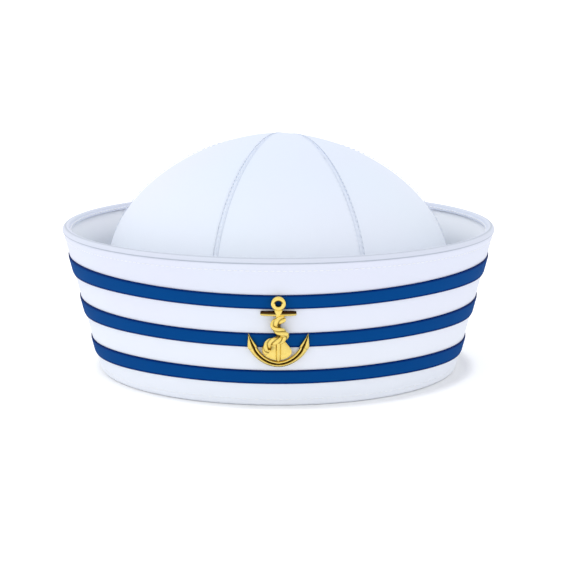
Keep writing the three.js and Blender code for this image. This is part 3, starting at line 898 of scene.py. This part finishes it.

# %% [markdown]
# The stock is the straight bar across the top and the shank the ridged bar down the middle.
# The shank gets painted shade where the rope covers it.
# The ring above them is a flattened torus, with a small neck between it and the stock.

# %% Model the stock, the shank, the ring and the neck
# Each corner: across, rise, and its painted shade
STOCK_PROFILE = ((-1, 0, 0), (-1, 0.45, 0), (-0.75, 0.85, 0), (-0.1, 1, 0), (0.12, 0.95, 0.9),
                 (0.6, 0.55, 1), (1, 0.3, 1), (1, 0, 0.6))
SHANK_PROFILE = ((-1, 0, 0), (-1, 0.5, 0.4), (-0.6, 0.85, 0), (0, 1, 0), (0.6, 0.85, 0),
                 (1, 0.5, 0.4), (1, 0, 0))
BEHIND_ROPE = (-3.4 * MM, 7 * MM)
BEHIND_ROPE_SHADE = 0.9
RING_CENTRE = 14.9 * MM
RING_TOP = 0.4 * MM
RING_RADIUS = 2.4 * MM
RING_WIRE = 1.2 * MM


def straight_bar(name, profile, start, end, stations):
    """A bar between two points of the badge, in millimetres, turned to its direction."""
    run = (Vector(end) - Vector(start)) * MM
    placed = [(share * run.length, half * MM, height * MM) for share, half, height in stations]
    bar = extrude_bar(name, profile, placed)
    turned = Matrix.Rotation(math.atan2(run.y, run.x), 4, "Z")
    bar.data.transform(Matrix.Translation([value * MM for value in start]) @ turned)
    return bar


stock = straight_bar("stock", STOCK_PROFILE, (-8.5, 9.5, 0), (8.5, 9.5, 0),
                     ((0, 1.0, 1.5), (0.02, 1.25, 1.9), (0.45, 1.35, 2.1), (0.55, 1.35, 2.1),
                      (0.98, 1.25, 1.9), (1, 1.0, 1.5)))
shank = straight_bar("shank", SHANK_PROFILE, (0, -15.2, 0), (0, 12.0, 0),
                     ((0, 0.7, 2.4), (0.04, 1.2, 2.8), (0.12, 1.35, 3.2), (0.42, 1.3, 2.9),
                      (0.45, 1.3, 2.8), (0.79, 1.15, 2.6), (0.83, 1.2, 2.5), (0.96, 2.2, 2.2),
                      (1, 2.4, 1.6)))
# Painted shade on the shank where the rope lies over it
for vertex, painted_shade in zip(shank.data.vertices, shank.data.attributes["painted_shade"].data):
    if BEHIND_ROPE[0] < vertex.co.y < BEHIND_ROPE[1]:
        painted_shade.value = BEHIND_ROPE_SHADE
deselect()
bpy.ops.mesh.primitive_torus_add(major_segments=56, minor_segments=20, major_radius=RING_RADIUS,
                                 minor_radius=RING_WIRE, location=(0, RING_CENTRE, RING_WIRE))
ring = bpy.context.object
bpy.ops.object.transform_apply(location=True)


def ring_painted_shade(point):
    """The ring's inner side gets painted shade, most of all at its top."""
    reach = math.hypot(point.x, point.y - RING_CENTRE)
    edge = RING_RADIUS - RING_WIRE * (0.1 if point.y > RING_CENTRE + RING_TOP else 0.6)
    return (edge - reach) / (0.3 * RING_WIRE)


mark_painted_shade(ring, ring_painted_shade)
report(stock)
report(shank)
report(ring)

# %% [markdown]
# The rope is laid from three strands. Three discs are extruded together and turned a little at
# each step, which twists them round each other. The straight rope is then bent to its line: an
# S in front of the shank that ends in a curl to the left of the shank's foot.

# %% Model the rope
ROPE_LINE = ((2.7, 6.6, 1.2), (0.9, 7.0, 2.0), (-0.9, 5.6, 1.9), (-2.0, 3.7, 1.6),
             (-0.6, 2.0, 2.3), (1.7, 0.5, 2.4), (3.1, -1.3, 1.7), (1.6, -3.3, 1.9),
             (-1.2, -4.1, 2.0), (-3.6, -4.9, 1.5), (-5.3, -7.2, 1.2), (-5.6, -9.3, 1.1),
             (-4.2, -10.9, 1.2))
ROPE_RADIUS = 2.15 * MM
ROPE_LAY = 11 * MM
ROPE_STEP = 0.6 * MM
STRANDS = 3
STRAND_SHARE = 0.57


def make_rope():
    guide, length = soft_line(ROPE_LINE)
    strand = ROPE_RADIUS * STRAND_SHARE
    aside = ROPE_RADIUS - strand
    deselect()
    discs = []
    for k in range(STRANDS):
        angle = 2 * math.pi * k / STRANDS
        bpy.ops.mesh.primitive_circle_add(
            vertices=12, radius=strand, fill_type="NGON",
            location=(0, aside * math.cos(angle), aside * math.sin(angle)),
            rotation=(0, math.pi / 2, 0))
        discs.append(bpy.context.object)
    for disc in discs:
        disc.select_set(True)
    bpy.ops.object.join()
    rope = bpy.context.object
    rope.name = "rope"
    bpy.ops.object.transform_apply(location=True, rotation=True)
    bpy.ops.object.mode_set(mode="EDIT")
    bpy.ops.mesh.select_all(action="SELECT")
    steps = int(length / ROPE_STEP)
    for step in range(1, steps + 1):
        bpy.ops.mesh.extrude_region_move(TRANSFORM_OT_translate={"value": (ROPE_STEP, 0, 0)})
        bpy.ops.transform.rotate(value=2 * math.pi * ROPE_STEP / ROPE_LAY, orient_axis="X",
                                 center_override=(step * ROPE_STEP, 0, 0))
    face_outwards()
    # Painted shade in the crevices between the strands, on each strand's inner side
    mark_painted_shade(rope, lambda p: (0.8 - math.hypot(p.y, p.z) / ROPE_RADIUS) / 0.25)
    follow(rope, guide)
    return rope


rope = make_rope()
report(rope)

# %% [markdown]
# Below its last turn the rope spreads into a smooth lobe in front of the anchor's foot. Its
# outline comes from a few points and is softened by subdivision. It is highest in the middle,
# and has a small sunk eye to the left of the shank.

# %% Model the lobe at the foot
LOBE_OUTLINE = ((4.7, -7.0), (7.1, -10.6), (4.9, -13.6), (0, -15.4), (-5.2, -13.9), (-8.6, -10.4),
                (-6.4, -6.8), (-3.9, -4.2), (0, -3.2), (2.7, -4.2))
LOBE_WALL = 1.1 * MM
# Inset and rise of each step towards the lobe's middle, in millimetres
LOBE_STEPS = ((0.5, 0.5), (1.1, 0.35), (1.1, 0.25), (1.1, 0.1))
EYE_CENTRE = Vector((-3.7 * MM, -8.6 * MM, 0))
EYE_RADIUS = 1.0 * MM
EYE_SLOPE = 1.4
EYE_DEPTH = 1.1 * MM
LOBE_FACE = 0.6 * MM


def eye_share(point):
    return (Vector((point.x, point.y, 0)) - EYE_CENTRE).length / EYE_RADIUS


deselect()
bpy.ops.mesh.primitive_circle_add(vertices=len(LOBE_OUTLINE), fill_type="NGON", location=(0, 0, 0))
lobe = bpy.context.object
lobe.name = "lobe"
for vertex, (across, up) in zip(lobe.data.vertices, LOBE_OUTLINE):
    vertex.co = (across * MM, up * MM, 0)
bpy.ops.object.mode_set(mode="EDIT")
bpy.ops.mesh.select_all(action="SELECT")
bpy.ops.mesh.extrude_region_move(TRANSFORM_OT_translate={"value": (0, 0, LOBE_WALL)})
for thickness, depth in LOBE_STEPS:
    bpy.ops.mesh.inset(thickness=thickness * MM, depth=depth * MM)
face_outwards()
add_modifier(lobe, "SUBSURF", levels=3, render_levels=3)
apply_modifiers(lobe)
for vertex in lobe.data.vertices:
    share = eye_share(vertex.co)
    if vertex.co.z > LOBE_FACE and share < EYE_SLOPE:
        vertex.co.z -= EYE_DEPTH * (1 - (share / EYE_SLOPE) ** 2)
# Painted shade in and round the sunk eye
mark_painted_shade(lobe, lambda p: 1.5 - eye_share(p))
report(lobe)

# %% [markdown]
# The parts are joined to one casting. Its back is flat, so whatever reaches behind it is
# levelled, and the whole casting is then bent round the band's own curve and set in its place.
# Behind it one plain post goes through the band into a round clutch.

# %% Join the casting and set it on the band
POST_RADIUS = 0.8 * MM
POST_IN_CAST = 1 * MM
POST_BEVEL = 0.25 * MM
BADGE_HEIGHT = 36.8 * MM
POST_HEIGHT = 0.115 * BADGE_HEIGHT
CLUTCH_RADIUS = 4.5 * MM
CLUTCH_THICKNESS = 1.8 * MM
CLUTCH_RIM = 1.1 * MM
CLUTCH_DISH = 0.5 * MM
CLUTCH_BEVEL = 0.3 * MM
CLUTCH_SEAT = FACING_DEPTH + BAND_PLY + CLEARANCE

parts = [right_arm, left_arm, stock, shank, ring, rope, lobe]
anchor = join("anchor", parts)
add_modifier(anchor, "SUBSURF", levels=1, render_levels=1)
apply_modifiers(anchor)
for vertex in anchor.data.vertices:
    vertex.co.z = max(vertex.co.z, 0)
    angle = vertex.co.x / BEND_RADIUS
    radius = BEND_RADIUS + vertex.co.z
    vertex.co.x = radius * math.sin(angle)
    vertex.co.z = radius * math.cos(angle) - BEND_RADIUS

post_end = -(BADGE_LIFT + CLUTCH_SEAT + CLUTCH_THICKNESS)
deselect()
bpy.ops.mesh.primitive_cylinder_add(vertices=24, radius=POST_RADIUS,
                                    depth=-post_end + POST_IN_CAST,
                                    location=(0, POST_HEIGHT, (post_end + POST_IN_CAST) / 2))
post = bpy.context.object
bpy.ops.object.transform_apply(location=True)
add_modifier(post, "BEVEL", width=POST_BEVEL, segments=3, limit_method="ANGLE")
apply_modifiers(post)
anchor = join("anchor", [anchor, post])
anchor.data.transform(badge_place(BADGE_LIFT))
smooth(anchor, 40)
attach(anchor, "root")
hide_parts("anchor_badge")
report(anchor)

deselect()
bpy.ops.mesh.primitive_cylinder_add(vertices=48, radius=CLUTCH_RADIUS, depth=CLUTCH_THICKNESS,
                                    location=(0, 0, -CLUTCH_THICKNESS / 2))
clutch = bpy.context.object
clutch.name = "clutch"
bpy.ops.object.transform_apply(location=True)
bpy.ops.object.mode_set(mode="EDIT")
select_faces(clutch, lambda centre: centre.z < -CLUTCH_THICKNESS * 0.9)
bpy.ops.mesh.inset(thickness=CLUTCH_RIM, depth=0)
bpy.ops.mesh.inset(thickness=CLUTCH_DISH, depth=-CLUTCH_DISH)
bpy.ops.object.mode_set(mode="OBJECT")
add_modifier(clutch, "BEVEL", width=CLUTCH_BEVEL, segments=3, limit_method="ANGLE")
apply_modifiers(clutch)
clutch.data.transform(badge_place(0) @ Matrix.Translation((0, POST_HEIGHT, -CLUTCH_SEAT)))
smooth(clutch, 40)
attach(clutch, "root")
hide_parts("badge_clutch")
report(clutch)

# %% [markdown]
# Every material starts from the same shader and uses the same few kinds of nodes, so helpers
# add them. An input of a node is either a plain value or the output of another node.

# %% Prepare the helpers for materials
def add_node(tree, kind, inputs, **settings):
    """Add a node, change its settings, and then set or link each of the given inputs."""
    node = tree.nodes.new(f"ShaderNode{kind}")
    for key, value in settings.items():
        setattr(node, key, value)
    for socket, value in inputs.items():
        if isinstance(value, bpy.types.NodeSocket):
            tree.links.new(value, node.inputs[socket])
        else:
            node.inputs[socket].default_value = value
    return node


def math_node(tree, operation, *values):
    return add_node(tree, "Math", dict(enumerate(values)), operation=operation).outputs[0]


def object_place(tree):
    return add_node(tree, "TexCoord", {}).outputs["Object"]


def noise_node(tree, vector, scale, detail):
    inputs = {"Vector": vector, "Scale": scale, "Detail": detail}
    return add_node(tree, "TexNoise", inputs).outputs["Fac"]


def ramp_node(tree, value, stops):
    """A colour ramp. The first and last stop are its own two, and the others are added."""
    node = add_node(tree, "ValToRGB", {"Fac": value})
    elements = node.color_ramp.elements
    elements[0].position, elements[-1].position = stops[0][0], stops[-1][0]
    for stop in stops[1:-1]:
        elements.new(stop[0])
    for element, stop in zip(elements, stops):
        element.color = (*stop[1], 1)
    return node.outputs["Color"]


def mix_node(tree, amount, first, second, blend_type="MIX"):
    """Mix two colours, which are the last pair of the node's inputs."""
    inputs = {0: amount, 6: first, 7: second}
    return add_node(tree, "Mix", inputs, data_type="RGBA", blend_type=blend_type).outputs[2]


def new_material(name, **shader_values):
    """A material with its tree and its shader, whose inputs are given with _ for each space."""
    material = bpy.data.materials.new(name)
    material.use_nodes = True
    shader = material.node_tree.nodes["Principled BSDF"]
    for socket, value in shader_values.items():
        shader.inputs[socket.replace("_", " ")].default_value = value
    return material, material.node_tree, shader


def finish_surface(tree, shader, colour, height, strength, distance):
    """Link the colour, and a bump of this strength over a height field."""
    tree.links.new(colour, shader.inputs["Base Color"])
    inputs = {"Height": height, "Strength": strength, "Distance": distance}
    bump = add_node(tree, "Bump", inputs)
    tree.links.new(bump.outputs["Normal"], shader.inputs["Normal"])


# %% [markdown]
# All the cloth is a plain weave, so the weave is one node group that every cloth material
# places with its own thread count. It turns the grain map into the over-and-under of the
# threads, with a slow noise so that no two threads are quite alike.

# %% Build the weave group
SLUB_HEIGHT = 0.6

weave = bpy.data.node_groups.new("weave", "ShaderNodeTree")
weave.interface.new_socket(name="Grain", in_out="INPUT", socket_type="NodeSocketVector")
weave.interface.new_socket(name="Threads", in_out="INPUT", socket_type="NodeSocketFloat")
weave.interface.new_socket(name="Height", in_out="OUTPUT", socket_type="NodeSocketFloat")
group_in = weave.nodes.new("NodeGroupInput")
group_out = weave.nodes.new("NodeGroupOutput")
split = add_node(weave, "SeparateXYZ", {0: group_in.outputs["Grain"]})
slub = noise_node(weave, group_in.outputs["Grain"], 160, 3)
waves = []
for axis in ("X", "Y"):
    count = math_node(weave, "MULTIPLY", split.outputs[axis], group_in.outputs["Threads"])
    wander = math_node(weave, "ADD", count, slub)
    waves.append(math_node(weave, "SINE", math_node(weave, "MULTIPLY", wander, math.pi)))
over_under = math_node(weave, "MULTIPLY", waves[0], waves[1])
height = math_node(weave, "ADD", over_under, math_node(weave, "MULTIPLY", slub, SLUB_HEIGHT))
weave.links.new(height, group_out.inputs["Height"])
print("weave group:", [item.name for item in weave.interface.items_tree])


# %% [markdown]
# White cotton drill is matt, with a faint blue cast. Its colour drifts slowly from cool to a
# trace of lilac over the piece, as bleached cloth does. Low down it moves to a painted foot
# colour: painted light makes the crown and the band whiter there, and painted shade makes the
# facing darker deep inside the band. Creases and fine lines carry painted shade and are mixed
# towards grey, and the thread that the cloth is sewn with is a little brighter.

# %% Make the cloth materials
THREADS_PER_METRE = 1900
THREAD_HEIGHT = 0.05 * MM
# Painted shade: the grey that creases, seam feet and fine lines are mixed towards
PAINTED_SHADE_GREY = (0.4, 0.45, 0.53, 1)
# Painted light and shade: how far the foot colour is mixed in
PAINTED_FOOT_SHARE = 0.8
THREAD_SHADE = 0.93


def cloth_material(name, cool, warm, painted_foot, fade, roughness):
    """fade: the height where the painted foot colour starts, and the height where it is full."""
    material, tree, shader = new_material(name, Roughness=roughness, Sheen_Weight=0.15,
                                          Sheen_Roughness=0.5, Specular_IOR_Level=0.25)
    grain = add_node(tree, "UVMap", {}, uv_map="grain").outputs["UV"]
    threads = {"Grain": grain, "Threads": THREADS_PER_METRE}
    cloth = add_node(tree, "Group", threads, node_tree=weave)
    place = object_place(tree)
    drift = noise_node(tree, place, 14, 2)
    colours = ramp_node(tree, drift, ((0.35, cool), (0.65, warm)))
    where = add_node(tree, "SeparateXYZ", {0: place})
    painted_foot_range = {"Value": where.outputs["Z"], "From Min": fade[0], "From Max": fade[1]}
    painted_foot_mask = add_node(tree, "MapRange", painted_foot_range, interpolation_type="SMOOTHSTEP")
    amount = math_node(tree, "MULTIPLY", painted_foot_mask.outputs["Result"], PAINTED_FOOT_SHARE)
    foot_shaded = mix_node(tree, amount, colours, (*painted_foot, 1))
    painted_shade = add_node(tree, "Attribute", {}, attribute_name="painted_shade").outputs["Fac"]
    crease_shaded = mix_node(tree, painted_shade, foot_shaded, PAINTED_SHADE_GREY)
    finish_surface(tree, shader, crease_shaded, cloth.outputs["Height"], 0.5, THREAD_HEIGHT)
    return material


def thread_material(name, colour):
    material, tree, shader = new_material(name, Roughness=0.55, Sheen_Weight=0.2)
    twisting = {"Vector": object_place(tree), "Scale": 900}
    twist = add_node(tree, "TexWave", twisting, bands_direction="DIAGONAL").outputs["Fac"]
    shade = [THREAD_SHADE * channel for channel in colour]
    colours = ramp_node(tree, twist, ((0, shade), (1, colour)))
    finish_surface(tree, shader, colours, twist, 0.4, THREAD_HEIGHT)
    return material


def dress(piece, material):
    piece.data.materials.clear()
    piece.data.materials.append(material)


# The third colour is the painted foot colour: painted light on the crown and the band, painted
# shade on the facing.
crown_white = cloth_material("crown_white", (0.74, 0.81, 0.93), (0.75, 0.79, 0.93),
                             (0.84, 0.89, 0.96), (CROWN_HEIGHT, SHOULDER_HEIGHT), 0.88)
band_white = cloth_material("band_white", (0.76, 0.805, 0.92), (0.77, 0.79, 0.92),
                            (0.89, 0.925, 0.98), (BAND_HEIGHT, 0), 0.85)
facing_white = cloth_material("facing_white", (0.93, 0.95, 0.99), (0.94, 0.94, 0.99),
                              (0.5, 0.55, 0.63), (BAND_HEIGHT, BAND_HEIGHT / 2), 0.85)
white_thread = thread_material("white_thread", (0.93, 0.95, 0.99))
for gore in gores:
    dress(gore, crown_white)
dress(band, band_white)
dress(facing, facing_white)
dress(band_stitches, white_thread)
dress(crown_stitches, thread_material("crown_thread", (0.8, 0.85, 0.95)))


# %% [markdown]
# The ribbon is a royal blue with a navy line along both edges. The grain map's second value
# runs from edge to edge of the ribbon, so a colour ramp on it draws the two lines at any width.

# %% Make the ribbon material
# Colours from the ribbon's lower edge to its upper one
RIBBON_COLOURS = ((0, (0, 0.02, 0.13)), (0.09, (0.001, 0.03, 0.17)),
                  (0.17, (0.0015, 0.066, 0.262)), (0.85, (0.0015, 0.062, 0.25)),
                  (0.93, (0.001, 0.026, 0.155)), (1, (0, 0.015, 0.11)))
RIBS_PER_METRE = 2600


def ribbon_material():
    material, tree, shader = new_material("ribbon_blue", Roughness=0.7, Specular_IOR_Level=0.02)
    grain = add_node(tree, "UVMap", {}, uv_map="grain").outputs["UV"]
    split_grain = add_node(tree, "SeparateXYZ", {0: grain})
    edges = ramp_node(tree, split_grain.outputs["Y"], RIBBON_COLOURS)
    fade = noise_node(tree, object_place(tree), 45, 4)
    lighten = ramp_node(tree, fade, ((0, (0.86, 0.9, 0.94)), (1, (1, 1, 1))))
    colour = mix_node(tree, 1, edges, lighten, "MULTIPLY")
    along = math_node(tree, "MULTIPLY", split_grain.outputs["X"], RIBS_PER_METRE * math.pi)
    ribs = math_node(tree, "SINE", along)
    finish_surface(tree, shader, colour, ribs, 0.35, THREAD_HEIGHT)
    return material


ribbon_blue = ribbon_material()
for ribbon in ribbons:
    dress(ribbon, ribbon_blue)


# %% [markdown]
# The badge is polished cast metal with a gold colour. It shows little colour of its own and
# mirrors what is round it, with tiny casting marks that soften the mirror.

# %% Make the gold material
# Painted shade and painted dark reflection: the gold is mixed towards this brown in grooves,
# crevices, the ring's inside and behind the rope
PAINTED_GOLD_SHADE = (0.03, 0.008, 0.002, 1)
CASTING_DEPTH = 0.04 * MM


def gold_material():
    material, tree, shader = new_material("polished_gold", Metallic=1, Roughness=0.22)
    marks = noise_node(tree, object_place(tree), 900, 4)
    colours = ramp_node(tree, marks, ((0, (0.86, 0.61, 0.12)), (1, (0.98, 0.8, 0.27))))
    painted_shade = add_node(tree, "Attribute", {}, attribute_name="painted_shade").outputs["Fac"]
    gold_shaded = mix_node(tree, painted_shade, colours, PAINTED_GOLD_SHADE)
    finish_surface(tree, shader, gold_shaded, marks, 0.25, CASTING_DEPTH)
    return material


gold = gold_material()
for piece in (anchor, clutch):
    dress(piece, gold)


# %% [markdown]
# A white cap on white is lit softly from all round, with one lamp high on the left and a
# larger, fainter one in front of it. The floor carries painted light: it glows faintly from a
# few millimetres outside the band on, and most of that glow only reaches the camera. So the
# floor turns pure white there, the soft shadow round the band is painted out, and only the
# narrow shadow under the band stays. The glow's oval is set a little to the right, so that
# shadow is a little wider on the right, away from the lamps.

# %% Lay the floor and light the scene
# Painted light: the floor's glow, and how much of it lights the cap
FLOOR_GLOW = 0.3
GLOW_ON_CAP = 0.4
GLOW_START = 1.02
GLOW_FULL = 1.11
SHADOW_TO_RIGHT = 2.5 * MM
LIGHT_TARGET = Vector((0, 0, 50 * MM))


def floor_material():
    """GLOW_START and GLOW_FULL are measured as shares of the oval of the band's foot."""
    material, tree, shader = new_material("pale_floor", Roughness=0.9, Specular_IOR_Level=0.1,
                                          Emission_Color=(1, 1, 1, 1))
    place = object_place(tree)
    tone = noise_node(tree, place, 3, 2)
    colours = ramp_node(tree, tone, ((0, (0.93, 0.93, 0.94)), (1, (0.96, 0.96, 0.96))))
    tree.links.new(colours, shader.inputs["Base Color"])
    width, length = oval_ring(WALL_REACH, 0)[:2]
    placing = {"Vector": place, "Scale": (1 / width, 1 / length, 0),
               "Location": (-SHADOW_TO_RIGHT / width, 0, 0)}
    oval = add_node(tree, "Mapping", placing).outputs["Vector"]
    away = add_node(tree, "VectorMath", {0: oval}, operation="LENGTH").outputs["Value"]
    glowing = {"Value": away, "From Min": GLOW_START, "From Max": GLOW_FULL,
               "To Max": FLOOR_GLOW}
    glow = add_node(tree, "MapRange", glowing, interpolation_type="SMOOTHSTEP")
    to_camera = add_node(tree, "LightPath", {}).outputs["Is Camera Ray"]
    seen = math_node(tree, "MULTIPLY_ADD", to_camera, 1 - GLOW_ON_CAP, GLOW_ON_CAP)
    strength = math_node(tree, "MULTIPLY", glow.outputs["Result"], seen)
    tree.links.new(strength, shader.inputs["Emission Strength"])
    return material


deselect()
bpy.ops.mesh.primitive_plane_add(size=16, location=(0, 0, 0))
floor = bpy.context.object
floor.name = "floor"
dress(floor, floor_material())

world = bpy.data.worlds.new("studio")
bpy.context.scene.world = world
world.use_nodes = True
sky = world.node_tree.nodes["Background"]
sky.inputs["Color"].default_value = (0.985, 0.992, 1.0, 1)
sky.inputs["Strength"].default_value = 1


def area_light(name, location, size, power):
    deselect()
    bpy.ops.object.light_add(type="AREA", location=location)
    lamp = bpy.context.object
    lamp.name = name
    lamp.data.shape = "DISK"
    lamp.data.size = size
    lamp.data.energy = power
    aim = LIGHT_TARGET - Vector(location)
    lamp.rotation_euler = aim.to_track_quat("-Z", "Y").to_euler()


area_light("key", (-0.8, -1.1, 1.7), 1.4, 1.2)
area_light("top", (-1.2, 0.3, 1.7), 0.6, 4)
bpy.context.scene.view_settings.view_transform = "Standard"
bpy.context.scene.view_settings.look = "None"

# %% [markdown]
# The last cell leaves nothing selected.

# %% Finish
deselect()
